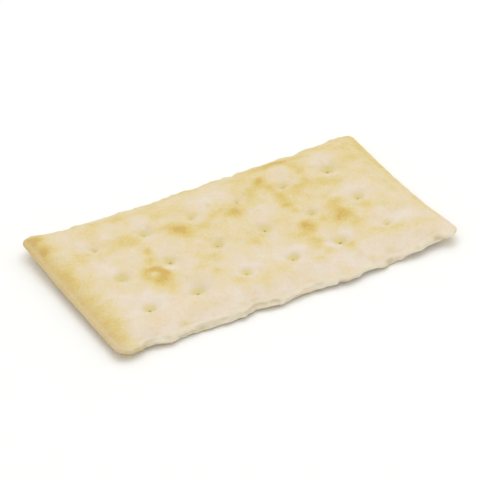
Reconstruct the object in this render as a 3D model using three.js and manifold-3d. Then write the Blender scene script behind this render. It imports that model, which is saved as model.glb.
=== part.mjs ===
// A rectangular butter cracker: a thin baked slab, docked with three rows of six pins.
// Millimetres, +Z up, long side along X. It lies on the crests of its underside, with its ends curled up.
import * as THREE from "three";
import { mergeVertices } from "three/addons/utils/BufferGeometryUtils.js";
import Module from "manifold-3d";

// Plan of the cracker
const length = 62.8;
const width = 36.7;
const cornerRadius = 2;

// Docking pins
const columns = 6;
const rows = 3;
const columnPitch = 8.8;
const rowPitch = 9.7;
const pinRadius = 0.22; // at the underside, where a pin hole is narrowest
const pinWaistRadius = 0.34;
const pinMouthRadius = 1.1; // where the hole flares into its dimple
const pinSides = 12;
const pinWander = 0.16; // how far a pin stands off its place in the grid
const pinShift = { x: 0.16, y: -0.23 }; // the whole grid sits a little towards the right and near sides
const dimpleDepth = 0.85;
const dimpleReach = 2.1; // radius at which a dimple has lost two thirds of its depth
const dimpleDepthSpread = [0.75, 1.2]; // least and greatest share of that depth
const dimpleReachSpread = [0.88, 1.15];
const pinOpenings = [ // size of each hole against the usual one, near row first
  [1, 1.1, 0.85, 1, 1.1, 0.65],
  [1.15, 0.9, 1, 1.05, 0.75, 0.9],
  [0.55, 0.85, 0.7, 0.5, 0.75, 1.1],
];
const puckerHeight = 0.35; // the underside drawn up round a pin
const puckerReach = 1.5;
const pinWaistHeight = 1.1;
const pinMouthHeight = 2.2;
const pinOvershoot = 2; // how far a pin's cutter runs past the crust

// Thickness
const crestThickness = 2.9;
const sideThickness = 1.6; // at the torn long sides
const endThickness = 1.3; // at the pinched short ends
const sideSlope = 5; // width of the strip that falls to a long side
const endSlope = 6; // the same at a short end
const noseDepth = 0.5; // how far a rounded edge bulges past the top and the underside
const edgeTuck = 0.3; // how far the underside lifts at the outline
const tuckReach = 2.4;
const edgeEvenness = 0.35; // share of the crust's unevenness that reaches the outline

// Curl of the ends: the left end lifts more than the right one, and most at its far corner
const leftCurl = 0.95;
const leftCurlTwist = 0.3;
const leftCurlReach = 17;
const rightCurl = 0.4;
const rightCurlTwist = -0.12;
const rightCurlReach = 15;

// Each corner lifts further than its end does; x and y say which corner
const cornerLiftReach = 12;
const cornerLifts = [
  { x: -1, y: 1, height: 0.5 },
  { x: -1, y: -1, height: 0.2 },
  { x: 1, y: 1, height: 0.5 },
  { x: 1, y: -1, height: 0.8 },
];

// The right end is drawn in between its corners
const bowDepth = 0.2;
const bowReach = 12;

// Unevenness of the baked crust
const seed = 7;
const swell = { size: 7.5, height: 0.34 };
const ripple = { size: 3.1, height: 0.17 };
const bandMark = { size: 4.4, height: 0.3 };

// Long sides, torn from the sheet: a ragged line, and the places where each side stands out or falls back
const tearRag = { size: 2.3, depth: 0.12 };
const tearReach = 3; // how far the tear moves the crust behind it
const farTears = [
  { x: -28.8, reach: 2.2, out: 0.35 },
  { x: -21.5, reach: 0.9, out: 0.2 },
  { x: -19, reach: 3.6, out: 0.35 },
  { x: -15.8, reach: 1.2, out: 0.4 },
  { x: -13, reach: 0.8, out: 0.4 },
  { x: -8, reach: 1.4, out: -0.1 },
  { x: -5, reach: 1.4, out: -0.25 },
  { x: 4, reach: 2.6, out: 0.35 },
  { x: 8, reach: 0.8, out: -0.15 },
  { x: 9.3, reach: 0.9, out: 0.35 },
  { x: 12, reach: 0.7, out: 0.15 },
  { x: 14, reach: 0.8, out: 0.2 },
  { x: 19.6, reach: 1.2, out: -0.35 },
  { x: 22.2, reach: 1.2, out: 0.35 },
  { x: 25.4, reach: 1.8, out: -0.4 },
];
const nearTears = [
  { x: -28.2, reach: 1.4, out: 0.35 },
  { x: -26, reach: 2, out: -0.7 },
  { x: -22, reach: 0.9, out: 0.3 },
  { x: -18.5, reach: 4.5, out: -0.5 },
  { x: -15, reach: 0.8, out: 0.2 },
  { x: -9.4, reach: 0.9, out: 0.15 },
  { x: -6.2, reach: 1.6, out: -0.5 },
  { x: -2.4, reach: 1.6, out: 0.3 },
  { x: 3.4, reach: 2, out: -0.4 },
  { x: 7, reach: 1, out: 0.2 },
  { x: 10, reach: 2.8, out: 0.75 },
  { x: 14.6, reach: 0.9, out: -0.15 },
  { x: 16.8, reach: 0.8, out: 0.2 },
  { x: 19, reach: 1, out: -0.35 },
  { x: 22.8, reach: 1, out: 0.25 },
  { x: 26.5, reach: 2.4, out: -0.55 },
  { x: 29.4, reach: 1.2, out: 0.35 },
];

// Blisters, with the middle of each, its radius and its rise above the crust
const blisterSkirt = 1.4; // a blister dies out at this many radii
const blisters = [
  { x: -29, y: 13.2, radius: 2.2, rise: 0.35 },
  { x: -16.8, y: -3.4, radius: 2.6, rise: 0.75 },
  { x: -16.8, y: 8.2, radius: 2.3, rise: 0.4 },
  { x: -8, y: 6.6, radius: 2.8, rise: 0.65 },
  { x: 2.4, y: 6.4, radius: 1.9, rise: 0.55 },
  { x: 8.2, y: 9.8, radius: 2.4, rise: 0.35 },
  { x: 10.4, y: 12.6, radius: 1.8, rise: 0.4 },
  { x: 10.5, y: -3.6, radius: 2.3, rise: 0.6 },
  { x: 15.2, y: 6.9, radius: 2.2, rise: 0.4 },
  { x: 17.6, y: -4.2, radius: 2.5, rise: 0.7 },
  { x: 17.8, y: 0, radius: 2, rise: 0.35 },
  { x: -4.4, y: -4.7, radius: 2.6, rise: 0.3 },
  { x: 25.6, y: -8.2, radius: 2.5, rise: 0.3 },
];

// Mesh of the slab: each pin stands on a crossing of its grid lines
const cellsPerPitch = 7;
const endCells = 8;
const sideCells = 7;
const edgeCells = 4;

// Each kind of unevenness draws from a layer of its own
const layers = {
  swell: 1,
  ripple: 2,
  bandMark: 3,
  pinX: 11,
  pinY: 12,
  dimpleDepth: 13,
  dimpleReach: 14,
  tearRag: 23,
};

// A steady draw from 0 to 1 for a lattice point
const drawStepX = 127.1;
const drawStepY = 311.7;
const drawStepLayer = 74.7;
const drawSpread = 43758.5453;

function draw(i, j, layer) {
  const value = Math.sin(i * drawStepX + j * drawStepY + (seed + layer) * drawStepLayer) * drawSpread;
  return value - Math.floor(value);
}

function ease(t) {
  const s = Math.min(Math.max(t, 0), 1);
  return s * s * (3 - 2 * s);
}

function blend(from, to, t) {
  return from + (to - from) * t;
}

// A draw turned into a shift of up to the given distance either way
function wander(distance, i, j, layer) {
  return distance * (2 * draw(i, j, layer) - 1);
}

// Smooth unevenness from -1 to 1, with bumps of the given size
function uneven(x, y, size, layer) {
  const i = Math.floor(x / size);
  const j = Math.floor(y / size);
  const across = ease(x / size - i);
  const up = ease(y / size - j);
  const low = blend(draw(i, j, layer), draw(i + 1, j, layer), across);
  const high = blend(draw(i, j + 1, layer), draw(i + 1, j + 1, layer), across);
  return 2 * blend(low, high, up) - 1;
}

// Where the pins stand, each a little off its place in the grid
function pinPlaces() {
  const places = [];
  for (let row = 0; row < rows; row += 1) {
    for (let column = 0; column < columns; column += 1) {
      const middleX = (column - (columns - 1) / 2) * columnPitch;
      const middleY = (row - (rows - 1) / 2) * rowPitch;
      places.push({
        x: pinShift.x + middleX + wander(pinWander, column, row, layers.pinX),
        y: pinShift.y + middleY + wander(pinWander, column, row, layers.pinY),
        depth: dimpleDepth * blend(...dimpleDepthSpread, draw(column, row, layers.dimpleDepth)),
        reach: dimpleReach * blend(...dimpleReachSpread, draw(column, row, layers.dimpleReach)),
        size: pinOpenings[row][column],
      });
    }
  }
  return places;
}

const pins = pinPlaces();

// Sum of round hollows at the pins, 1 deep in the middle of an average one
function atPins(x, y, reachOf, depthOf) {
  return pins.reduce((sum, pin) => {
    const distance = Math.hypot(x - pin.x, y - pin.y) / reachOf(pin);
    return sum + depthOf(pin) * Math.exp(-distance * distance);
  }, 0);
}

// How far the blisters lift the crust: each is a low dome with a soft skirt
function blisterRise(x, y) {
  return blisters.reduce((sum, b) => {
    const distance = Math.hypot(x - b.x, y - b.y) / b.radius;
    return sum + b.rise * (1 - ease(distance / blisterSkirt));
  }, 0);
}

// How far the ends and the corners lift off the table
function curl(x, y) {
  const twist = y / (width / 2);
  const left = Math.max((-x - (length / 2 - leftCurlReach)) / leftCurlReach, 0);
  const right = Math.max((x - (length / 2 - rightCurlReach)) / rightCurlReach, 0);
  const leftEnd = (leftCurl + leftCurlTwist * twist) * left ** 2;
  const rightEnd = (rightCurl + rightCurlTwist * twist) * right ** 2;
  return cornerLifts.reduce((sum, corner) => {
    const distance = Math.hypot(x - (corner.x * length) / 2, y - (corner.y * width) / 2);
    return sum + corner.height * (1 - ease(distance / cornerLiftReach));
  }, leftEnd + rightEnd);
}

// How far a torn side stands out at x: side is 1 on the far side and -1 on the near one
function tear(x, side) {
  const tears = side > 0 ? farTears : nearTears;
  const rag = tearRag.depth * uneven(x, side * width, tearRag.size, layers.tearRag);
  return tears.reduce((sum, t) => sum + t.out * Math.exp(-(((x - t.x) / t.reach) ** 2)), rag);
}

// How far the right end is drawn in
function bow(x, y) {
  const twist = y / (width / 2);
  return bowDepth * (1 - twist ** 2) ** 2 * ease((x - (length / 2 - bowReach)) / bowReach);
}

function thickness(x, y) {
  const fromEnd = length / 2 - Math.abs(x);
  const fromSide = width / 2 - Math.abs(y);
  const overEnd = ease(fromEnd / endSlope);
  const overSide = ease(fromSide / sideSlope);
  const edge = blend(endThickness, sideThickness, overEnd);
  const inside = overEnd * overSide;
  const swelling = swell.height * uneven(x, y, swell.size, layers.swell);
  const rippling = ripple.height * uneven(x, y, ripple.size, layers.ripple);
  const crust = swelling + rippling + blisterRise(x, y);
  const hollow = atPins(x, y, (pin) => pin.reach, (pin) => pin.depth);
  return blend(edge, crestThickness, inside) + crust * blend(edgeEvenness, 1, inside) - hollow;
}

function underside(x, y) {
  const fromEdge = Math.min(length / 2 - Math.abs(x), width / 2 - Math.abs(y));
  const tuck = edgeTuck * (1 - ease(fromEdge / tuckReach));
  const pucker = puckerHeight * atPins(x, y, () => puckerReach, () => 1);
  const marks = bandMark.height * uneven(x, y, bandMark.size, layers.bandMark);
  return Math.max(curl(x, y) + tuck + pucker + marks, 0);
}

// A grid line's place along one side: even cells over the margin, then even cells from pin to pin
function gridPlace(share, half, pitch, count, marginCells) {
  const cells = 2 * marginCells + (count - 1) * cellsPerPitch;
  const reach = ((count - 1) / 2) * pitch;
  const fromMiddle = Math.abs(share - 0.5) * cells;
  const pinnedCells = cells / 2 - marginCells;
  const inner = (Math.min(fromMiddle, pinnedCells) * pitch) / cellsPerPitch;
  const outer = (Math.max(fromMiddle - pinnedCells, 0) * (half - reach)) / marginCells;
  return Math.sign(share - 0.5) * (inner + outer);
}

// A square corner of the grid turned into a quarter disc
function roundCorner(x, y) {
  const a = (Math.abs(x) - (length / 2 - cornerRadius)) / cornerRadius;
  const b = (Math.abs(y) - (width / 2 - cornerRadius)) / cornerRadius;
  if (a <= 0 || b <= 0) {
    return { x, y };
  }
  const across = length / 2 - cornerRadius + cornerRadius * a * Math.sqrt(1 - (b * b) / 2);
  const along = width / 2 - cornerRadius + cornerRadius * b * Math.sqrt(1 - (a * a) / 2);
  return { x: Math.sign(x) * across, y: Math.sign(y) * along };
}

// The baked slab, before its pin holes: a gridded box bent to the crust
function slabGeometry() {
  const onOutline = 0.4999;
  const cellsX = 2 * endCells + (columns - 1) * cellsPerPitch;
  const cellsY = 2 * sideCells + (rows - 1) * cellsPerPitch;
  const geometry = new THREE.BoxGeometry(1, 1, 1, cellsX, cellsY, edgeCells);
  geometry.deleteAttribute("normal");
  geometry.deleteAttribute("uv");
  const place = geometry.attributes.position;
  for (let i = 0; i < place.count; i += 1) {
    const level = place.getZ(i) + 0.5;
    const gridX = gridPlace(place.getX(i) + 0.5, length / 2, columnPitch, columns, endCells);
    const gridY = gridPlace(place.getY(i) + 0.5, width / 2, rowPitch, rows, sideCells);
    const flat = roundCorner(gridX, gridY);
    const inset = noseDepth * (2 * level - 1) ** 2;
    const outward = new THREE.Vector2(
      Math.abs(place.getX(i)) > onOutline ? Math.sign(flat.x) : 0,
      Math.abs(place.getY(i)) > onOutline ? Math.sign(flat.y) : 0,
    ).normalize();
    const side = Math.sign(flat.y) || 1;
    const torn = ease(1 - (width / 2 - Math.abs(flat.y)) / tearReach);
    const x = flat.x - outward.x * inset - bow(flat.x, flat.y);
    const y = flat.y - outward.y * inset + side * torn * tear(flat.x, side);
    const low = underside(flat.x, flat.y);
    const high = curl(flat.x, flat.y) + thickness(flat.x, flat.y);
    place.setXYZ(i, x, y, blend(low, high, level));
  }
  return mergeVertices(geometry);
}

// One pin hole: narrow below, and flared where it opens into the dimple
function pinGeometry(size) {
  const below = -pinOvershoot;
  const above = crestThickness + pinOvershoot;
  const flare = (pinMouthRadius - pinWaistRadius) / (pinMouthHeight - pinWaistHeight);
  const topRadius = pinMouthRadius + flare * (above - pinMouthHeight);
  const profile = [
    new THREE.Vector2(0, below),
    new THREE.Vector2(pinRadius * size, below),
    new THREE.Vector2(pinWaistRadius * size, pinWaistHeight),
    new THREE.Vector2(topRadius * size, above),
    new THREE.Vector2(0, above),
  ];
  const geometry = new THREE.LatheGeometry(profile, pinSides);
  geometry.rotateX(Math.PI / 2);
  geometry.deleteAttribute("normal");
  geometry.deleteAttribute("uv");
  return mergeVertices(geometry);
}

const wasm = await Module();
wasm.setup();

function solidOf(geometry) {
  const mesh = new wasm.Mesh({
    numProp: 3,
    vertProperties: Float32Array.from(geometry.attributes.position.array),
    triVerts: Uint32Array.from(geometry.index.array),
  });
  return new wasm.Manifold(mesh);
}

function geometryOf(solid) {
  const mesh = solid.getMesh();
  const geometry = new THREE.BufferGeometry();
  geometry.setAttribute("position", new THREE.BufferAttribute(mesh.vertProperties, 3));
  geometry.setIndex(new THREE.BufferAttribute(mesh.triVerts, 1));
  return geometry;
}

function crackerGeometry() {
  let solid = solidOf(slabGeometry());
  pins.forEach((pin) => {
    const hole = pinGeometry(pin.size);
    hole.translate(pin.x, pin.y, 0);
    solid = solid.subtract(solidOf(hole));
  });
  const geometry = geometryOf(solid);
  geometry.computeBoundingBox();
  const middle = geometry.boundingBox.getCenter(new THREE.Vector3());
  geometry.translate(-middle.x, -middle.y, 0);
  geometry.computeVertexNormals();
  return geometry;
}

const bakedCrust = new THREE.MeshStandardMaterial({ color: 0xe6d3a4, roughness: 0.85, metalness: 0 });

const group = new THREE.Group();
const cracker = new THREE.Mesh(crackerGeometry(), bakedCrust);
cracker.name = "cracker";
group.add(cracker);

export default group;
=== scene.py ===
from math import cos, radians, sin

import bpy
import numpy as np
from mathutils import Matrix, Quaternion, Vector


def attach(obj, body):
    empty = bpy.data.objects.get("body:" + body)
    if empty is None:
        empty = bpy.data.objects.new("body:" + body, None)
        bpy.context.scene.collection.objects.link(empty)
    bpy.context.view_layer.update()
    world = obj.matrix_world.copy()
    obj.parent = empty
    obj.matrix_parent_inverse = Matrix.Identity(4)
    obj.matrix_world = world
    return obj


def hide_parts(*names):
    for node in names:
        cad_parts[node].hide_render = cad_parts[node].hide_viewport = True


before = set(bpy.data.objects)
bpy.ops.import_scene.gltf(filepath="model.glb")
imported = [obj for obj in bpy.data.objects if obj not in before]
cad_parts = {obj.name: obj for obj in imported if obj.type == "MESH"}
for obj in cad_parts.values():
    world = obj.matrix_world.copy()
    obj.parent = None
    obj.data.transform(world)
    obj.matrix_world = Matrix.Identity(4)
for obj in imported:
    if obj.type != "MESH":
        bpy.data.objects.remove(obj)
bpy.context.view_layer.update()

bpy.ops.object.select_all(action="DESELECT")
mm = 0.001
print("frame loaded")

# A butter cracker: one baked slab, docked with three rows of six pins.
# The slab starts as a grid that is extruded to a box, has its pin holes bridged from top to underside,
# and is then shaped point by point: the same outline, curl, blisters and dimples as the solid that it
# stands for, with the finer bubbles, wrinkles and torn layers that the solid leaves out.

slab = {
    "length": 62.8 * mm,
    "width": 36.7 * mm,
    "cornerRadius": 2.0 * mm,
    "crestThickness": 2.9 * mm,
    "sideThickness": 1.6 * mm,     # at the torn long sides
    "endThickness": 1.3 * mm,      # at the pinched short ends
    "sideSlope": 5.0 * mm,         # strip that falls to a long side
    "endSlope": 6.0 * mm,          # the same at a short end
    "noseDepth": 0.5 * mm,         # how far a rounded edge bulges past the top
    "edgeTuck": 0.3 * mm,          # how far the underside lifts at the outline
    "tuckReach": 2.4 * mm,
    "edgeEvenness": 0.35,          # share of the unevenness that reaches the outline
    "wallLevels": 9,               # rows of faces up an edge
}

docking = {
    "columns": 6,
    "rows": 3,
    "columnPitch": 8.8 * mm,
    "rowPitch": 9.7 * mm,
    "pinWander": 0.16 * mm,
    "wanderLayers": (11, 12),
    "pinShift": (0.16 * mm, -0.23 * mm),  # the whole grid of pins sits a little off the middle
    "pinRadius": 0.17 * mm,        # at the underside
    "throatRadius": 0.2 * mm,      # higher up
    "throatRise": 1.6,             # above 1, a hole is that wide before it reaches the crust
    "dimpleDepth": 0.45 * mm,
    "dimpleDepthSpread": (0.75, 1.2),
    "dimpleDepthLayer": 13,
    "dimpleReach": 2.3 * mm,
    "dimpleReachSpread": (0.88, 1.15),
    "dimpleReachLayer": 14,
    "funnelDepth": 0.72 * mm,      # the dimple's steep middle
    "funnelReach": 1.3 * mm,
    "funnelPower": 2.2,            # the higher, the flatter its floor
    "openings": [                  # size of each hole against the usual one, near row first
        (1.0, 1.1, 0.85, 1.0, 1.1, 0.65),
        (1.15, 0.9, 1.0, 1.05, 0.75, 0.9),
        (0.55, 0.85, 0.7, 0.5, 0.75, 1.1),
    ],
    "puckerHeight": 0.35 * mm,     # the underside drawn up round a pin
    "puckerReach": 1.5 * mm,
    "channelCuts": 4,              # rings of points down a pin hole
}

curling = {
    "left": 0.95 * mm,
    "leftTwist": 0.3 * mm,
    "leftReach": 17 * mm,
    "right": 0.4 * mm,
    "rightTwist": -0.12 * mm,
    "rightReach": 15 * mm,
    "corners": [(-1, 1, 0.5 * mm), (-1, -1, 0.2 * mm), (1, 1, 0.5 * mm), (1, -1, 0.8 * mm)],
    "cornerReach": 12 * mm,
    "bowDepth": 0.2 * mm,          # the right end is drawn in between its corners
    "bowReach": 12 * mm,
}

unevenness = {
    "seed": 7,
    "swell": {"size": 7.5 * mm, "height": 0.34 * mm, "layer": 1},
    "ripple": {"size": 3.1 * mm, "height": 0.17 * mm, "layer": 2},
    "bandMark": {"size": 4.4 * mm, "height": 0.3 * mm, "layer": 3},
    "wrinkle": {"size": 1.5 * mm, "height": 0.09 * mm, "layer": 4},
    "grain": {"size": 0.7 * mm, "height": 0.05 * mm, "layer": 5},
    "fineAtEdge": 0.5,             # share of the fine unevenness left at the outline
}

tearing = {
    "rag": {"size": 2.3 * mm, "height": 0.12 * mm, "layer": 23},
    "reach": 3 * mm,               # how far the tear moves the crust behind it
    "flakeLength": 1.9 * mm,       # torn layers along the side
    "flakeHeight": 0.42 * mm,      # and up it
    "flakeDepth": 0.24 * mm,
    "flakeLayer": 27,
    "crumbSize": 0.75 * mm,
    "crumbFlatness": 0.6,          # height of a crumb against its length
    "crumbDepth": 0.12 * mm,
    "crumbLayer": 28,
    "rimLoss": 0.5,                # share of the flaking lost at the rim and at the underside
    "rimPower": 8,                 # the higher, the closer to them the loss stays
    "endFade": 2 * mm,             # over this the flaking fades towards a short end
}

# Places where each torn side stands out or falls back: along it, reach, and how far out, in millimetres
farTears = [
    (-28.8, 2.2, 0.35),
    (-21.5, 0.9, 0.20),
    (-19.0, 3.6, 0.35),
    (-15.8, 1.2, 0.40),
    (-13.0, 0.8, 0.40),
    (-8.0, 1.4, -0.10),
    (-5.0, 1.4, -0.25),
    (4.0, 2.6, 0.35),
    (8.0, 0.8, -0.15),
    (9.3, 0.9, 0.35),
    (12.0, 0.7, 0.15),
    (14.0, 0.8, 0.20),
    (19.6, 1.2, -0.35),
    (22.2, 1.2, 0.35),
    (25.4, 1.8, -0.40),
]
nearTears = [
    (-28.2, 1.4, 0.35),
    (-26.0, 2.0, -0.70),
    (-22.0, 0.9, 0.30),
    (-18.5, 4.5, -0.50),
    (-15.0, 0.8, 0.20),
    (-9.4, 0.9, 0.15),
    (-6.2, 1.6, -0.50),
    (-2.4, 1.6, 0.30),
    (3.4, 2.0, -0.40),
    (7.0, 1.0, 0.20),
    (10.0, 2.8, 0.75),
    (14.6, 0.9, -0.15),
    (16.8, 0.8, 0.20),
    (19.0, 1.0, -0.35),
    (22.8, 1.0, 0.25),
    (26.5, 2.4, -0.55),
    (29.4, 1.2, 0.35),
]

# Torn layers on the near wall: along it, reach, place up the wall (0 at the table, 1 at the rim), reach,
# how far out in millimetres, and colour: pale crumb below 0, painted shade of a recess above it
nearLayers = [
    (-27.6, 1.6, 0.50, 0.25, -0.08, 0.70),
    (-24.5, 2.4, 0.35, 0.20, -0.05, 0.50),
    (-19.0, 3.0, 0.40, 0.20, -0.05, 0.50),
    (-14.6, 1.0, 0.60, 0.25, 0.05, -0.40),
    (-11.2, 1.5, 0.35, 0.25, 0.12, -0.60),
    (-11.0, 1.8, 0.70, 0.12, -0.10, 0.50),
    (-8.4, 1.0, 0.60, 0.25, -0.12, 0.90),
    (-4.4, 1.6, 0.50, 0.25, 0.12, -0.70),
    (-4.4, 1.9, 0.88, 0.12, -0.12, 0.60),
    (-1.0, 1.0, 0.40, 0.20, -0.06, 0.60),
    (3.0, 1.8, 0.45, 0.20, -0.05, 0.50),
    (6.4, 1.0, 0.60, 0.25, 0.05, -0.40),
    (9.0, 0.9, 0.50, 0.30, -0.10, 0.70),
    (12.6, 1.4, 0.45, 0.20, -0.05, 0.40),
    (15.8, 1.0, 0.55, 0.30, 0.10, -0.70),
    (18.0, 1.2, 0.55, 0.30, -0.12, 0.90),
    (22.0, 1.6, 0.40, 0.20, -0.04, 0.35),
    (26.4, 1.8, 0.35, 0.20, -0.03, 0.15),
]

# Grid cells from pin to pin and over the margins, so that each pin stands on a crossing
grid = {
    "columnCells": 36,
    "endCells": 36,
    "rowCells": 40,
    "sideCells": 34,
    "holeRing": 3,                 # cells from a pin to its hole's rim
    "blendRing": 9,                # the rings are round up to here
    "outerRing": 16,               # and square from here
    "ringCrowding": 1.35,          # above 1, rings crowd towards the hole
}

# Blisters: middle, radius and rise above the crust, in millimetres
blisters = [
    (-29.0, 13.2, 2.2, 0.35),
    (-16.8, -3.4, 2.6, 0.75),
    (-16.8, 8.2, 2.3, 0.40),
    (-8.0, 6.6, 2.8, 0.65),
    (2.4, 6.4, 1.9, 0.55),
    (8.2, 9.8, 2.4, 0.35),
    (10.4, 12.6, 1.8, 0.40),
    (10.5, -3.6, 2.3, 0.60),
    (15.2, 6.9, 2.2, 0.40),
    (17.6, -4.2, 2.5, 0.70),
    (17.8, 0.0, 2.0, 0.35),
    (-4.4, -4.7, 2.6, 0.30),
    (25.6, -8.2, 2.5, 0.30),
]
blisterSkirt = 1.4                 # how far a blister's foot reaches, against its radius


# Steady draws and smooth unevenness, worked out alike for single numbers and whole arrays

def draw(i, j, layer):
    value = np.sin(i * 127.1 + j * 311.7 + (unevenness["seed"] + layer) * 74.7) * 43758.5453
    return value - np.floor(value)


def ease(t):
    s = np.clip(t, 0, 1)
    return s * s * (3 - 2 * s)


def blend(low, high, t):
    return low + (high - low) * t


def wander(distance, i, j, layer):
    return distance * (2 * draw(i, j, layer) - 1)


def uneven(x, y, sizeX, layer, sizeY=None):
    across, up = x / sizeX, y / (sizeY or sizeX)
    i, j = np.floor(across), np.floor(up)
    s, t = ease(across - i), ease(up - j)
    low = blend(draw(i, j, layer), draw(i + 1, j, layer), s)
    high = blend(draw(i, j + 1, layer), draw(i + 1, j + 1, layer), s)
    return 2 * blend(low, high, t) - 1


def relief(kind, x, y):
    return kind["height"] * uneven(x, y, kind["size"], kind["layer"])


# Where the pins stand

def pinPlaces():
    d = docking
    wanderX, wanderY = d["wanderLayers"]
    places = []
    for row in range(d["rows"]):
        for column in range(d["columns"]):
            middleX = (column - (d["columns"] - 1) / 2) * d["columnPitch"]
            middleY = (row - (d["rows"] - 1) / 2) * d["rowPitch"]
            places.append({
                "column": column,
                "row": row,
                "x": middleX + d["pinShift"][0] + wander(d["pinWander"], column, row, wanderX),
                "y": middleY + d["pinShift"][1] + wander(d["pinWander"], column, row, wanderY),
                "depth": d["dimpleDepth"] * blend(
                    *d["dimpleDepthSpread"], draw(column, row, d["dimpleDepthLayer"])),
                "reach": d["dimpleReach"] * blend(
                    *d["dimpleReachSpread"], draw(column, row, d["dimpleReachLayer"])),
                "size": d["openings"][row][column],
            })
    return places


pins = pinPlaces()


# Height of the crust over the table

def curl(x, y):
    c = curling
    half = slab["length"] / 2
    twist = y / (slab["width"] / 2)
    left = np.clip((-x - (half - c["leftReach"])) / c["leftReach"], 0, None)
    right = np.clip((x - (half - c["rightReach"])) / c["rightReach"], 0, None)
    lift = (c["left"] + c["leftTwist"] * twist) * left**2 + (c["right"] + c["rightTwist"] * twist) * right**2
    for end, side, height in c["corners"]:
        distance = np.hypot(x - end * half, y - side * slab["width"] / 2)
        lift = lift + height * (1 - ease(distance / c["cornerReach"]))
    return lift


def tear(x, side):
    out = relief(tearing["rag"], x, side * slab["width"])
    for isFar, tears in ((side > 0, farTears), (side < 0, nearTears)):
        for middle, reach, depth in tears:
            out = out + isFar * depth * mm * np.exp(-(((x - middle * mm) / (reach * mm)) ** 2))
    return out


def nearLayering(x, level):
    out, shade = np.zeros_like(x), np.zeros_like(x)
    for middle, reach, height, rise, depth, dark in nearLayers:
        share = np.exp(-(((x - middle * mm) / (reach * mm)) ** 2) - ((level - height) / rise) ** 2)
        out += depth * mm * share
        shade += dark * share
    return out, shade


def bow(x, y):
    twist = y / (slab["width"] / 2)
    near = ease((x - (slab["length"] / 2 - curling["bowReach"])) / curling["bowReach"])
    return curling["bowDepth"] * (1 - twist**2) ** 2 * near


def blisterRise(x, y):
    rise = np.zeros_like(x)
    for bx, by, radius, height in blisters:
        distance = np.hypot(x - bx * mm, y - by * mm) / (radius * mm)
        rise += height * mm * (1 - ease(distance / blisterSkirt))
    return rise


# Small bubbles in the skin, one in each cell of a shaken grid, most of them low
bubbles = {
    "cell": 2.3 * mm,
    "margin": 0.15,                # share of a cell that its bubble's middle keeps clear at each side
    "radius": (0.55 * mm, 1.25 * mm),
    "rise": 0.3 * mm,
    "lowness": 3,                  # the higher, the fewer bubbles stand tall
    "layer": 31,
}


def bubbleRise(x, y):
    b = bubbles
    rise = np.zeros_like(x)
    room = 1 - 2 * b["margin"]
    column, row = np.floor(x / b["cell"]), np.floor(y / b["cell"])
    for stepX in (-1, 0, 1):
        for stepY in (-1, 0, 1):
            i, j = column + stepX, row + stepY
            middleX = (i + b["margin"] + room * draw(i, j, b["layer"])) * b["cell"]
            middleY = (j + b["margin"] + room * draw(i, j, b["layer"] + 1)) * b["cell"]
            radius = blend(*b["radius"], draw(i, j, b["layer"] + 2))
            height = b["rise"] * draw(i, j, b["layer"] + 3) ** b["lowness"]
            distance = np.hypot(x - middleX, y - middleY) / radius
            rise = np.maximum(rise, height * (1 - ease(distance)))
    return rise


def pinHollow(x, y):
    hollow = np.zeros_like(x)
    for pin in pins:
        distance = np.hypot(x - pin["x"], y - pin["y"])
        hollow += pin["depth"] * np.exp(-(distance / pin["reach"]) ** 2)
        funnel = (distance / (docking["funnelReach"] * pin["size"])) ** docking["funnelPower"]
        hollow += docking["funnelDepth"] * pin["size"] * np.exp(-funnel)
    return hollow


def pinPucker(x, y):
    pucker = np.zeros_like(x)
    for pin in pins:
        distance = np.hypot(x - pin["x"], y - pin["y"]) / docking["puckerReach"]
        pucker += docking["puckerHeight"] * np.exp(-distance**2)
    return pucker


def inside(x, y):
    overEnd = ease((slab["length"] / 2 - np.abs(x)) / slab["endSlope"])
    overSide = ease((slab["width"] / 2 - np.abs(y)) / slab["sideSlope"])
    return overEnd, overSide


def topHeight(x, y):
    overEnd, overSide = inside(x, y)
    edge = blend(slab["endThickness"], slab["sideThickness"], overEnd)
    middle = overEnd * overSide
    crust = relief(unevenness["swell"], x, y) + relief(unevenness["ripple"], x, y) + blisterRise(x, y)
    fine = relief(unevenness["wrinkle"], x, y) + relief(unevenness["grain"], x, y) + bubbleRise(x, y)
    body = blend(edge, slab["crestThickness"], middle) + crust * blend(slab["edgeEvenness"], 1, middle)
    return curl(x, y) + body + fine * blend(unevenness["fineAtEdge"], 1, middle) - pinHollow(x, y)


def undersideHeight(x, y):
    fromEdge = np.minimum(slab["length"] / 2 - np.abs(x), slab["width"] / 2 - np.abs(y))
    tuck = slab["edgeTuck"] * (1 - ease(fromEdge / slab["tuckReach"]))
    marks = relief(unevenness["bandMark"], x, y) + relief(unevenness["wrinkle"], x, y)
    return np.clip(curl(x, y) + tuck + pinPucker(x, y) + marks, 0, None)


# The grid, from its even cells to the plan of the cracker

def gridPlace(cell, half, pitch, count, pitchCells, marginCells):
    cells = 2 * marginCells + (count - 1) * pitchCells
    reach = (count - 1) / 2 * pitch
    fromMiddle = np.abs(cell - cells / 2)
    inner = np.minimum(fromMiddle, cells / 2 - marginCells) * pitch / pitchCells
    outer = np.clip(fromMiddle - (cells / 2 - marginCells), 0, None) * (half - reach) / marginCells
    return np.sign(cell - cells / 2) * (inner + outer)


def roundCorners(x, y):
    r = slab["cornerRadius"]
    cornerX, cornerY = slab["length"] / 2 - r, slab["width"] / 2 - r
    a, b = (np.abs(x) - cornerX) / r, (np.abs(y) - cornerY) / r
    there = (a > 0) & (b > 0)
    a, b = np.clip(a, 0, 1), np.clip(b, 0, 1)
    roundX = np.sign(x) * (cornerX + r * a * np.sqrt(1 - b * b / 2))
    roundY = np.sign(y) * (cornerY + r * b * np.sqrt(1 - a * a / 2))
    return np.where(there, roundX, x), np.where(there, roundY, y)


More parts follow.
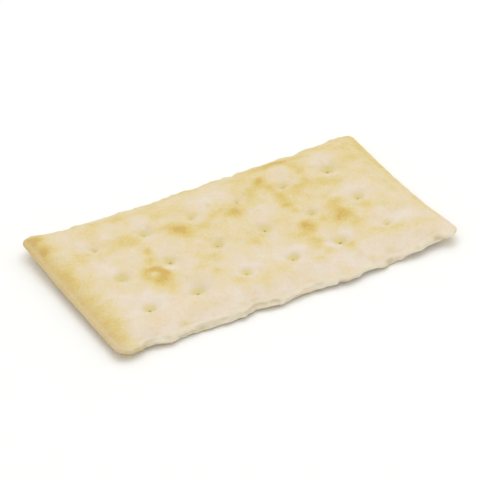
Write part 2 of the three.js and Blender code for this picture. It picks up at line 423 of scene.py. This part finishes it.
def ringsRoundPins(cellX, cellY, x, y, level):
    g, d = grid, docking
    for pin in pins:
        stepX = cellX - (g["endCells"] + pin["column"] * g["columnCells"])
        stepY = cellY - (g["sideCells"] + pin["row"] * g["rowCells"])
        ring = np.maximum(np.abs(stepX), np.abs(stepY))
        near = (ring > 0.5) & (ring < g["outerRing"])
        ring = np.where(near, ring, 1)
        a, b = np.clip(stepX / ring, -1, 1), np.clip(stepY / ring, -1, 1)
        rim = blend(d["pinRadius"], d["throatRadius"], ease(level * d["throatRise"])) * pin["size"]
        share = np.clip((ring - g["holeRing"]) / (g["outerRing"] - g["holeRing"]), 0, 1)
        outer = g["outerRing"] * d["columnPitch"] / g["columnCells"]
        radius = rim + (outer - rim) * share ** g["ringCrowding"]
        roundX = pin["x"] + radius * a * np.sqrt(1 - b * b / 2)
        roundY = pin["y"] + radius * b * np.sqrt(1 - a * a / 2)
        mix = ease((ring - g["blendRing"]) / (g["outerRing"] - g["blendRing"]))
        x = np.where(near, blend(roundX, x, mix), x)
        y = np.where(near, blend(roundY, y, mix), y)
    return x, y


# The slab's mesh, still flat: a grid extruded to a thin box, with each pin hole bridged through it

def addFlatSlab():
    g = grid
    cellsX = 2 * g["endCells"] + (docking["columns"] - 1) * g["columnCells"]
    cellsY = 2 * g["sideCells"] + (docking["rows"] - 1) * g["rowCells"]
    depth = 0.02                   # of a grid one unit wide: less than the way from hole to hole
    bpy.ops.mesh.primitive_grid_add(x_subdivisions=cellsX, y_subdivisions=cellsY, size=1)
    piece = bpy.context.object
    piece.name = "bakedCracker"
    bpy.ops.object.mode_set(mode="EDIT")
    bpy.ops.mesh.select_all(action="SELECT")
    for _ in range(slab["wallLevels"]):
        bpy.ops.mesh.extrude_region_move(
            TRANSFORM_OT_translate={"value": (0, 0, -depth / slab["wallLevels"])})
    bpy.ops.mesh.select_all(action="DESELECT")
    bpy.ops.mesh.select_mode(type="FACE")
    bpy.ops.object.mode_set(mode="OBJECT")

    mesh = piece.data
    middles = np.empty(len(mesh.polygons) * 3)
    mesh.polygons.foreach_get("center", middles)
    middles = middles.reshape(-1, 3)
    level = middles[:, 2] / depth
    isSheet = (level > -0.001) | (level < -0.999)  # top and bottom, not the walls
    cellX, cellY = (middles[:, 0] + 0.5) * cellsX, (middles[:, 1] + 0.5) * cellsY
    overPin = np.zeros(len(middles), bool)
    for pin in pins:
        stepX = cellX - (g["endCells"] + pin["column"] * g["columnCells"])
        stepY = cellY - (g["sideCells"] + pin["row"] * g["rowCells"])
        overPin |= np.maximum(np.abs(stepX), np.abs(stepY)) < g["holeRing"]
    mesh.polygons.foreach_set("select", overPin & isSheet)
    bpy.ops.object.mode_set(mode="EDIT")
    bpy.ops.mesh.delete(type="FACE")
    bpy.ops.mesh.select_mode(type="EDGE")
    bpy.ops.mesh.select_non_manifold(
        extend=False, use_wire=False, use_boundary=True, use_multi_face=False,
        use_non_contiguous=False, use_verts=False)
    bpy.ops.mesh.bridge_edge_loops(
        type="PAIRS", number_cuts=docking["channelCuts"], interpolation="LINEAR",
        smoothness=0, profile_shape_factor=0)
    bpy.ops.mesh.select_all(action="SELECT")
    bpy.ops.mesh.normals_make_consistent(inside=False)
    bpy.ops.object.mode_set(mode="OBJECT")
    return piece, cellsX, cellsY, depth


piece, cellsX, cellsY, depth = addFlatSlab()
print("flat slab", len(piece.data.vertices), "points", len(piece.data.polygons), "faces")


# Each point of the flat slab moved to its place

edges = {
    "noseReach": 1.7 * mm,         # strip that leans in towards a rounded edge
    "fray": {"size": 0.85 * mm, "height": 0.13 * mm, "layer": 25},
    "frayReach": 0.9 * mm,
    "endWave": {"size": 6 * mm, "height": 0.1 * mm, "layer": 26},
}


def readPoints(mesh):
    points = np.empty(len(mesh.vertices) * 3)
    mesh.vertices.foreach_get("co", points)
    return points.reshape(-1, 3)


def shapeSlab():
    g, d, t = grid, docking, tearing
    flat = readPoints(piece.data)
    level = 1 + flat[:, 2] / depth
    cellX, cellY = (flat[:, 0] + 0.5) * cellsX, (flat[:, 1] + 0.5) * cellsY
    x = gridPlace(cellX, slab["length"] / 2, d["columnPitch"], d["columns"], g["columnCells"], g["endCells"])
    y = gridPlace(cellY, slab["width"] / 2, d["rowPitch"], d["rows"], g["rowCells"], g["sideCells"])
    x, y = roundCorners(x, y)
    x, y = ringsRoundPins(cellX, cellY, x, y, level)
    low = undersideHeight(x, y)
    high = topHeight(x, y)
    z = blend(low, high, level)

    fromEnd, fromSide = slab["length"] / 2 - np.abs(x), slab["width"] / 2 - np.abs(y)
    leanX = ease(1 - fromEnd / edges["noseReach"])
    leanY = ease(1 - fromSide / edges["noseReach"])
    lean = slab["noseDepth"] * (2 * level - 1) ** 2 / np.maximum(1, np.hypot(leanX, leanY))
    side = np.where(y < 0, -1.0, 1.0)
    end = np.where(x < 0, -1.0, 1.0)
    far = side * slab["width"]
    torn = ease(1 - fromSide / t["reach"])
    frayed = ease(1 - fromSide / edges["frayReach"])
    rimmed = 1 - (2 * level - 1) ** t["rimPower"] * t["rimLoss"]
    wall = frayed * rimmed * ease(fromEnd / t["endFade"])
    crumbHeight = t["crumbSize"] * t["crumbFlatness"]
    flake = t["flakeDepth"] * uneven(x + far, z, t["flakeLength"], t["flakeLayer"], t["flakeHeight"])
    crumb = t["crumbDepth"] * uneven(x + far, z, t["crumbSize"], t["crumbLayer"], crumbHeight)
    layerOut, layerShade = nearLayering(x, level)
    isNear = frayed * (y < 0)
    waved = end * ease(1 - fromEnd / t["reach"]) * relief(edges["endWave"], y, end * slab["length"])
    placeX = x - end * leanX * lean + waved - bow(x, y)
    placeY = y - side * leanY * lean + side * torn * tear(x, side)
    placeY = placeY + side * (frayed * relief(edges["fray"], x, far) + wall * (flake + crumb))
    placeY = placeY - isNear * layerOut
    # Painted shade: darker where the flakes and crumbs lie recessed, and on the near wall's dark layers
    creviceShade = np.clip(-(flake + crumb) / t["flakeDepth"], 0, 1) + isNear * layerShade
    middle = (placeY.max() + placeY.min()) / 2
    points = np.column_stack((placeX, placeY - middle, z))
    piece.data.vertices.foreach_set("co", points.ravel())
    piece.data.update()
    return {"x": x, "y": y, "level": level, "wall": wall, "low": low, "creviceShade": creviceShade}


spots = shapeSlab()
bpy.ops.object.shade_smooth()
print("slab shaped")


# How far each point is toasted, how deep it lies in a hole, and where shade is painted on it

toasting = {
    "base": 0.33,
    "farMore": 0.05,               # the far side is more toasted than the near one
    "rightMore": 0.03,
    "nearPale": 0.15, "nearReach": 5 * mm, "nearStart": 0.4,
    "leftBand": 0.40, "leftMiddle": 1.5 * mm, "leftReach": 2.2 * mm,
    # a browner, greyer tint at the left end: browned crust with painted shade in it
    "endBrownAndShadeReach": 1.9 * mm,
    "rightBand": 0.09, "rightReach": 0.8 * mm,
    "farBand": 0.08, "farReach": 1.8 * mm,
    "haloReach": 2.2 * mm,
    "haloByRow": (0.8, 0.4, 0.35),  # share of the toasting lost round a pin, near row first
    "blotch": {"size": 3.6 * mm, "height": 0.1, "layer": 44},
    "mottle": {"size": 1.7 * mm, "height": 0.14, "layer": 45},
    "patch": {"size": 1.9 * mm, "height": 0.25, "layer": 41},
    "ragged": {"size": 4.5 * mm, "height": 0.22, "layer": 42},
    "reliefToast": 0.08,           # raised spots brown first
    "reliefShares": (0.5, 0.5, 2.2),  # of wrinkles, ripples and bubbles in that
}

# The underside is toasted where it lay on the band, and all along its ends
toastingBelow = {
    "base": 0.12,
    "contact": 0.5, "contactHeight": 0.3 * mm,
    "patchSize": 3.4 * mm, "patchLayer": 43, "patchSpread": 1.2,
    "left": 0.55, "leftReach": 5.5 * mm,
    "right": 0.40, "rightReach": 3.0 * mm,
}

# How the values that the crust's colours read are laid on the points
painting = {
    "takeOver": (0.25, 0.75),      # between these shares of the height the top's toasting takes over
    "mostToast": 1.2,              # above 1, specks can't lighten the darkest places
    "holeShadeReach": 1.15 * mm,
    "holeShadePower": 4,                # the higher, the sharper a hole's painted shade ends
    "tornGain": 1.2,               # above 1, a crevice under light painted shade still counts as crumb
}

# Toasted places, and floury ones with strengths below 0: middle and radius in millimetres, strength;
# one pale place beside a pin hole is a painted highlight
scorches = [
    (-29.5, 12.5, 1.1, 0.54),
    (-29.2, 16.6, 1.4, 0.28),
    (-30.4, 5.2, 1.4, 0.14),
    (-29.8, 2.4, 1.8, 0.08),
    (-30.0, -13.6, 2.6, 0.14),
    (-25.4, 8.4, 1.0, 0.30),
    (-25.4, 6.4, 1.0, 0.30),
    (-22.3, 2.0, 2.0, -0.13),
    (-25.8, -0.8, 1.0, -0.18),
    (-24.8, -6.6, 1.6, -0.22),
    (-25.0, -10.8, 1.9, -0.28),
    (-20.4, -7.8, 1.6, -0.26),
    (-19.7, -10.4, 1.8, -0.36),
    (-22.0, -17.0, 1.4, -0.16),
    (-18.5, -13.2, 2.4, 0.12),
    (-22.6, -13.6, 1.5, 0.08),
    (-12.4, -10.6, 2.2, 0.08),
    (-26.2, -14.0, 1.5, -0.16),
    (-12.6, -6.2, 1.6, -0.06),
    (-21.6, -4.8, 1.6, 0.15),
    (-12.0, 12.2, 1.5, -0.36),
    (-12.8, 14.4, 1.0, -0.20),
    (-23.4, 11.6, 1.2, -0.20),
    (-19.2, 11.4, 1.0, -0.18),
    (-0.4, 12.4, 1.9, -0.24),
    (-2.8, 12.8, 1.2, -0.26),
    (2.2, 12.8, 1.5, -0.26),
    (-19.8, 15.9, 2.0, 0.16),
    (-16.2, 15.9, 1.6, 0.12),
    (-17.6, 7.8, 1.6, 0.33),
    (-15.9, 7.0, 1.3, 0.39),
    (-6.6, 12.2, 1.0, 0.15),
    (-9.4, 12.0, 1.0, 0.08),
    (-8.0, 6.0, 1.9, 0.62),
    (-7.4, 4.0, 1.3, 0.16),
    (-7.5, 7.0, 1.2, 0.18),
    (-8.8, 7.4, 1.4, 0.12),
    (-3.6, 5.4, 1.3, 0.28),
    (-1.6, 6.6, 1.1, 0.24),
    (0.0, 7.4, 1.3, 0.22),
    (2.0, 5.2, 1.3, 0.60),
    (3.0, 8.0, 1.4, 0.20),
    (6.0, 6.8, 2.0, 0.18),
    (7.6, 9.8, 1.7, 0.39),
    (9.2, 11.0, 1.3, 0.24),
    (10.3, 12.1, 1.0, 0.60),
    (10.6, 9.8, 1.0, 0.28),
    (11.0, 7.6, 1.2, 0.40),
    (11.0, 5.3, 1.1, 0.34),
    (10.8, 3.0, 1.1, 0.40),
    (11.0, 1.0, 1.0, 0.33),
    (8.4, 15.6, 1.5, 0.16),
    (11.8, 15.7, 1.4, 0.42),
    (13.8, 16.6, 1.2, 0.26),
    (16.2, 15.9, 1.7, 0.85),
    (19.1, 15.7, 1.2, 0.50),
    (17.2, 13.4, 1.2, 0.24),
    (18.0, 11.4, 1.3, 0.21),
    (13.6, 6.6, 1.2, 0.24),
    (15.1, 6.6, 1.1, 0.54),
    (16.6, 7.4, 1.2, 0.24),
    (19.0, 6.1, 1.4, 0.18),
    (20.7, 5.0, 1.2, 0.30),
    (22.5, 11.8, 1.7, -0.34),
    (22.0, 1.6, 1.3, -0.14),
    (24.4, 1.4, 1.6, -0.18),
    (27.0, 9.6, 4.0, 0.17),
    (29.4, 13.0, 2.7, 0.12),
    (28.6, -1.6, 1.6, 0.18),
    (-15.1, 3.6, 1.0, 0.44),
    (-15.9, 1.2, 1.2, 0.50),
    (-16.8, -6.8, 1.6, 0.24),
    (-16.0, -7.6, 1.3, 0.24),
    # painted highlight beside the pin hole, laid as a pale place
    (-14.1, -2.3, 0.8, -0.70),
    (-16.6, -3.8, 2.3, 0.42),
    (-15.7, -3.1, 1.1, 0.44),
    (-18.6, -3.3, 1.0, 0.46),
    (-17.9, -1.4, 0.9, 0.30),
    (-17.4, -3.3, 0.6, -0.50),
    (-16.2, -4.9, 0.8, 0.16),
    (-16.6, -1.8, 1.0, 0.50),
    (-18.1, -4.9, 1.0, 0.36),
    (12.6, -1.0, 1.0, 0.16),
    (11.0, 9.0, 1.0, 0.20),
    (-9.6, -5.4, 1.5, 0.24),
    (-6.6, -3.6, 1.2, 0.22),
    (1.2, -3.4, 1.2, 0.36),
    (3.2, -2.2, 1.2, 0.34),
    (10.4, -3.7, 1.3, 0.78),
    (10.8, -5.4, 1.2, 0.28),
    (8.6, -5.6, 1.3, 0.28),
    (9.6, -7.8, 1.3, 0.24),
    (9.6, -9.6, 1.1, 0.32),
    (10.0, -12.2, 1.2, 0.30),
    (14.2, -3.4, 1.2, 0.34),
    (15.6, -1.2, 1.2, 0.27),
    (16.8, -2.8, 1.0, 0.18),
    (18.0, -1.2, 1.4, 0.34),
    (17.2, -5.0, 1.4, 0.82),
    (16.2, -4.6, 0.9, 0.20),
    (18.0, -7.6, 1.6, 0.36),
    (17.4, 2.4, 1.2, 0.30),
    (21.6, -4.2, 1.3, 0.33),
    (11.4, -10.2, 0.8, -0.60),
    (12.4, -11.4, 0.7, -0.50),
    (14.6, -9.2, 1.1, -0.44),
    (5.6, -9.0, 1.5, -0.42),
    (2.2, -9.4, 1.4, -0.32),
    (-1.4, -9.2, 1.4, -0.22),
    (-4.2, -7.0, 2.2, -0.10),
    (0.6, -6.8, 1.8, -0.12),
    (23.2, -7.0, 1.5, -0.30),
    (24.6, -10.4, 2.0, -0.14),
    (26.8, -9.4, 1.8, -0.08),
    (7.4, -13.4, 1.1, 0.36),
    (13.8, -12.6, 1.7, 0.27),
    (20.0, -12.0, 1.5, 0.16),
    (22.6, -12.2, 1.3, 0.20),
    (-6.8, -12.0, 1.6, 0.18),
    (-2.8, -13.4, 1.3, 0.24),
    (0.8, -13.2, 1.5, 0.18),
]


def toastOnTop(x, y):
    t = toasting
    half = slab["length"] / 2, slab["width"] / 2
    patchy = 1 + relief(t["patch"], x, y)
    ragged = 1 + relief(t["ragged"], x, y)
    far = ease((y + half[1]) / t["nearReach"] - t["nearStart"])
    toast = t["base"] + t["farMore"] * y / half[1] + t["rightMore"] * x / half[0] - t["nearPale"] * (1 - far)
    toast += relief(t["blotch"], x, y) + relief(t["mottle"], x, y)
    for pin in pins:
        distance = np.hypot(x - pin["x"], y - pin["y"]) / t["haloReach"]
        toast *= 1 - t["haloByRow"][pin["row"]] * np.exp(-distance**2)
    for sx, sy, radius, strength in scorches:
        distance = np.hypot(x - sx * mm, y - sy * mm) / (radius * mm)
        toast += strength * np.exp(-distance**2) * patchy
    fine = relief(unevenness["wrinkle"], x, y) / unevenness["wrinkle"]["height"]
    crest = relief(unevenness["ripple"], x, y) / unevenness["ripple"]["height"]
    bubbled = bubbleRise(x, y) / bubbles["rise"]
    ofFine, ofCrest, ofBubbles = t["reliefShares"]
    toast += t["reliefToast"] * (ofFine * fine + ofCrest * crest + ofBubbles * bubbled)
    toast += t["leftBand"] * np.exp(-(((x + half[0] - t["leftMiddle"]) / (t["leftReach"] * ragged)) ** 2))
    toast += t["rightBand"] * np.exp(-(((half[0] - x) / (t["rightReach"] * ragged)) ** 2))
    toast += t["farBand"] * ragged * np.exp(-(((half[1] - y) / (t["farReach"] * ragged)) ** 2))
    return toast


def toastBelow(x, y, low):
    t = toastingBelow
    half = slab["length"] / 2
    contact = 1 - ease(low / t["contactHeight"])
    patchy = 0.5 + 0.5 * uneven(x, y, t["patchSize"], t["patchLayer"])
    toast = t["base"] + t["contact"] * contact * ease(patchy * t["patchSpread"])
    toast += t["left"] * np.exp(-(((x + half) / t["leftReach"]) ** 2))
    toast += t["right"] * np.exp(-(((half - x) / t["rightReach"]) ** 2))
    return toast


def addValues(name, values):
    layer = piece.data.attributes.new(name, "FLOAT", "POINT")
    layer.data.foreach_set("value", np.ascontiguousarray(values, dtype=np.float32))


def paintValues():
    s, p = spots, painting
    low, high = p["takeOver"]
    up = ease((s["level"] - low) / (high - low))
    toast = blend(toastBelow(s["x"], s["y"], s["low"]), toastOnTop(s["x"], s["y"]), up)
    addValues("toast", np.clip(toast, 0, p["mostToast"]))
    # Painted shade in the pin holes: how far their darker, yellower tint reaches
    inHoleShade = np.zeros_like(s["x"])
    for pin in pins:
        radius = np.hypot(s["x"] - pin["x"], s["y"] - pin["y"]) / pin["size"]
        inHoleShade = np.maximum(inHoleShade, np.exp(-((radius / p["holeShadeReach"]) ** p["holeShadePower"])))
    addValues("hole", inHoleShade)
    addValues("torn", np.clip(s["wall"] * (p["tornGain"] - s["creviceShade"]), 0, 1))
    # Painted shade on the torn walls
    addValues("creviceShade", np.clip(s["wall"] * s["creviceShade"], 0, 1))
    # The left end: browned crust, with painted shade laid in the same tint
    fromLeft = (s["x"] + slab["length"] / 2) / toasting["endBrownAndShadeReach"]
    addValues("endBrownAndShade", np.exp(-fromLeft**2))


paintValues()
print("toasting painted")


# Materials

def linear(hexColour):
    channels = [int(hexColour[i:i + 2], 16) / 255 for i in (1, 3, 5)]
    return [c / 12.92 if c <= 0.04045 else ((c + 0.055) / 1.055) ** 2.4 for c in channels] + [1]


def addNode(tree, kind, settings=None, links=None):
    node = tree.nodes.new(kind)
    for name, value in (settings or {}).items():
        if isinstance(name, str) and hasattr(node, name):
            setattr(node, name, value)
        else:
            node.inputs[name].default_value = value
    for name, source in (links or {}).items():
        tree.links.new(source, node.inputs[name])
    return node


# A noise of 0 to 1 turned into a shift to either side of 0
def addShift(tree, noise, spread):
    return addNode(tree, "ShaderNodeMath", {"operation": "MULTIPLY_ADD", 1: spread, 2: -spread / 2},
                   {0: noise.outputs["Fac"]})


def newMaterial(name):
    material = bpy.data.materials.new(name)
    material.use_nodes = True
    material.node_tree.nodes.clear()
    return material, material.node_tree


crust = {
    "floury": "#e6d9c6",
    "cream": "#e4d3b6",
    "straw": "#e2d0a1",
    "golden": "#dec887",
    "amber": "#dac070",
    "brown": "#d1ae5a",
    # painted shade: a darker, yellower tint in each pin hole
    "holeShade": "#ddce8f",
    "crumb": "#e6dfc8",
    # painted shade: khaki laid in the torn wall's recesses and on the near wall's dark layers
    "creviceShade": "#c4b587",
    # browned left end, with painted shade in it
    "endBrownAndShade": "#bb9d78",
    "crumbShare": 0.6,             # how fully each of these three colours covers
    "creviceShadeShare": 0.38,
    "endBrownAndShadeShare": 0.36,
    "roughness": (0.5, 0.72),      # where most and where least toasted
    "fleckSize": 0.4 * mm,
    "fleckSpread": 0.36,           # how far the flecks shift the toasting, from lightest to darkest
    "speckSize": 0.8 * mm,
    "speckSpread": 0.3,
    "blotchSize": 2.6 * mm,
    "blotchSpread": 0.24,
    "poreSize": 0.2 * mm,
    "poreDepth": 0.08 * mm,
    "pimpleSize": 0.9 * mm,
    "pimpleDepth": 0.09 * mm,
    "refraction": 1.46,            # dough with fat in it
    "scatter": 0.25,
    "scatterRadius": (1.0, 0.62, 0.3),
    "scatterDepth": 0.7 * mm,
}


# Buttery dough, rolled, docked and baked: a dry, faintly greasy skin, cream where it stayed low and
# golden to brown where it blistered, with bare crumb where the sheet was torn; painted shade in the torn
# wall's recesses and in the pin holes, and a browner left end with painted shade in it.
def makeBakedCrust():
    c = crust
    material, tree = newMaterial("butteryBakedDough")
    place = addNode(tree, "ShaderNodeTexCoord")
    toast = addNode(tree, "ShaderNodeAttribute", {"attribute_name": "toast"})
    hole = addNode(tree, "ShaderNodeAttribute", {"attribute_name": "hole"})
    torn = addNode(tree, "ShaderNodeAttribute", {"attribute_name": "torn"})
    creviceShade = addNode(tree, "ShaderNodeAttribute", {"attribute_name": "creviceShade"})
    endBrownAndShade = addNode(tree, "ShaderNodeAttribute", {"attribute_name": "endBrownAndShade"})
    where = place.outputs["Object"]
    speck = addNode(tree, "ShaderNodeTexNoise",
                    {"Scale": 1 / c["speckSize"], "Detail": 5, "Roughness": 0.7}, {"Vector": where})
    blotch = addNode(tree, "ShaderNodeTexNoise",
                     {"Scale": 1 / c["blotchSize"], "Detail": 4, "Roughness": 0.62}, {"Vector": where})
    fleck = addNode(tree, "ShaderNodeTexNoise",
                    {"Scale": 1 / c["fleckSize"], "Detail": 1, "Roughness": 0.5}, {"Vector": where})
    speckShift = addShift(tree, speck, c["speckSpread"])
    blotchShift = addShift(tree, blotch, c["blotchSpread"])
    fleckShift = addShift(tree, fleck, c["fleckSpread"])
    fineShift = addNode(tree, "ShaderNodeMath", {"operation": "ADD"},
                        {0: speckShift.outputs[0], 1: fleckShift.outputs[0]})
    shift = addNode(tree, "ShaderNodeMath", {"operation": "ADD"},
                    {0: fineShift.outputs[0], 1: blotchShift.outputs[0]})
    baked = addNode(tree, "ShaderNodeMath", {"operation": "ADD", "use_clamp": True},
                    {0: toast.outputs["Fac"], 1: shift.outputs[0]})
    ramp = addNode(tree, "ShaderNodeValToRGB", links={"Fac": baked.outputs[0]})
    stops = [(0.0, "floury"), (0.2, "cream"), (0.4, "straw"), (0.6, "golden"), (0.8, "amber"), (1.0, "brown")]
    while len(ramp.color_ramp.elements) < len(stops):
        ramp.color_ramp.elements.new(0.5)
    for element, (position, name) in zip(ramp.color_ramp.elements, stops):
        element.position = position
        element.color = linear(c[name])
    # Painted shade: the pin holes tinted darker and yellower
    docked = addNode(tree, "ShaderNodeMix", {"data_type": "RGBA", 7: linear(c["holeShade"])},
                     {0: hole.outputs["Fac"], 6: ramp.outputs["Color"]})
    coloured = docked
    # Crumb, painted shade in the recesses, and the left end's browner tint with painted shade, laid over the
    # rest
    for mask, name in ((torn, "crumb"), (creviceShade, "creviceShade"), (endBrownAndShade, "endBrownAndShade")):
        share = addNode(tree, "ShaderNodeMath", {"operation": "MULTIPLY", 1: c[name + "Share"]},
                        {0: mask.outputs["Fac"]})
        coloured = addNode(tree, "ShaderNodeMix", {"data_type": "RGBA", 7: linear(c[name])},
                           {0: share.outputs[0], 6: coloured.outputs[2]})
    rough = addNode(tree, "ShaderNodeMapRange", {"To Min": c["roughness"][1], "To Max": c["roughness"][0]},
                    {"Value": baked.outputs[0]})
    pore = addNode(tree, "ShaderNodeTexNoise",
                   {"Scale": 1 / c["poreSize"], "Detail": 2, "Roughness": 0.5}, {"Vector": where})
    pimple = addNode(tree, "ShaderNodeTexVoronoi", {"feature": "SMOOTH_F1", "Scale": 1 / c["pimpleSize"],
                                                    "Smoothness": 0.8}, {"Vector": where})
    pimples = addNode(tree, "ShaderNodeBump", {"Strength": 1, "Distance": c["pimpleDepth"], "invert": True},
                      {"Height": pimple.outputs["Distance"]})
    bump = addNode(tree, "ShaderNodeBump", {"Strength": 1, "Distance": c["poreDepth"]},
                   {"Height": pore.outputs["Fac"], "Normal": pimples.outputs["Normal"]})
    skin = addNode(tree, "ShaderNodeBsdfPrincipled", {
        "IOR": c["refraction"],
        "Subsurface Weight": c["scatter"],
        "Subsurface Radius": c["scatterRadius"],
        "Subsurface Scale": c["scatterDepth"],
    }, {"Base Color": coloured.outputs[2], "Roughness": rough.outputs[0], "Normal": bump.outputs["Normal"]})
    addNode(tree, "ShaderNodeOutputMaterial", links={"Surface": skin.outputs["BSDF"]})
    return material


piece.data.materials.append(makeBakedCrust())
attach(piece, "root")
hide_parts("cracker")
print("crust finished")


# Floor, light and camera

studio = {
    "floorSize": 6.0,
    "floor": "#fbfbf9",
    "floorFibre": "#f8f8f6",
    "fibreSize": 2.5 * mm,
    "floorRoughness": 0.6,
    "worldStrength": 0.785,
    "keySize": 0.8,
    "keyPower": 2.5,
    "keyPlace": (0.12, 0.16, 0.82),
    "fillSize": 0.8,
    "fillPower": 0.55,
    "fillPlace": (-0.3, -0.8, 0.55),
}


# Uncoated white paper: evenly bright, with fibres only just told apart, so that nothing draws the eye from
# the cracker and its soft shadow.
def addFloor():
    bpy.ops.mesh.primitive_plane_add(size=studio["floorSize"], location=(0, 0, 0))
    floor = bpy.context.object
    floor.name = "paleFloor"
    material, tree = newMaterial("mattWhitePaper")
    place = addNode(tree, "ShaderNodeTexCoord")
    fibre = addNode(tree, "ShaderNodeTexNoise", {"Scale": 1 / studio["fibreSize"], "Detail": 2},
                    {"Vector": place.outputs["Object"]})
    tone = addNode(tree, "ShaderNodeMix",
                   {"data_type": "RGBA", 6: linear(studio["floor"]), 7: linear(studio["floorFibre"])},
                   {0: fibre.outputs["Fac"]})
    paper = addNode(tree, "ShaderNodeBsdfPrincipled", {"Roughness": studio["floorRoughness"]},
                    {"Base Color": tone.outputs[2]})
    addNode(tree, "ShaderNodeOutputMaterial", links={"Surface": paper.outputs["BSDF"]})
    floor.data.materials.append(material)


def addLight(name, size, power, place):
    bpy.ops.object.light_add(type="AREA", location=place)
    light = bpy.context.object
    light.name = name
    light.data.size = size
    light.data.energy = power
    light.rotation_euler = (-Vector(place)).to_track_quat("-Z", "Y").to_euler()


def addWorld():
    world = bpy.data.worlds.new("softWhiteRoom")
    bpy.context.scene.world = world
    world.use_nodes = True
    background = world.node_tree.nodes["Background"]
    background.inputs["Color"].default_value = (1, 1, 1, 1)
    background.inputs["Strength"].default_value = studio["worldStrength"]


viewing = {
    "azimuth": -26.4,
    "elevation": 33.9,
    "roll": -3.8,
    "distance": 0.526,
    "lens": 240,
    "sensor": 36,
    "clipStart": 0.01,
    "aim": (0, 0, 1.6 * mm),
}


def addCamera():
    a, e = radians(viewing["azimuth"]), radians(viewing["elevation"])
    back = Vector((sin(a) * cos(e), -cos(a) * cos(e), sin(e)))
    bpy.ops.object.camera_add(location=Vector(viewing["aim"]) + back * viewing["distance"])
    camera = bpy.context.object
    upright = (-back).to_track_quat("-Z", "Y")
    camera.rotation_euler = (upright @ Quaternion((0, 0, 1), radians(viewing["roll"]))).to_euler()
    camera.data.lens = viewing["lens"]
    camera.data.sensor_width = viewing["sensor"]
    camera.data.clip_start = viewing["clipStart"]
    bpy.context.scene.camera = camera


addFloor()
addLight("key", studio["keySize"], studio["keyPower"], studio["keyPlace"])
addLight("fill", studio["fillSize"], studio["fillPower"], studio["fillPlace"])
addWorld()
addCamera()
bpy.context.scene.view_settings.view_transform = "Standard"
print("studio ready")
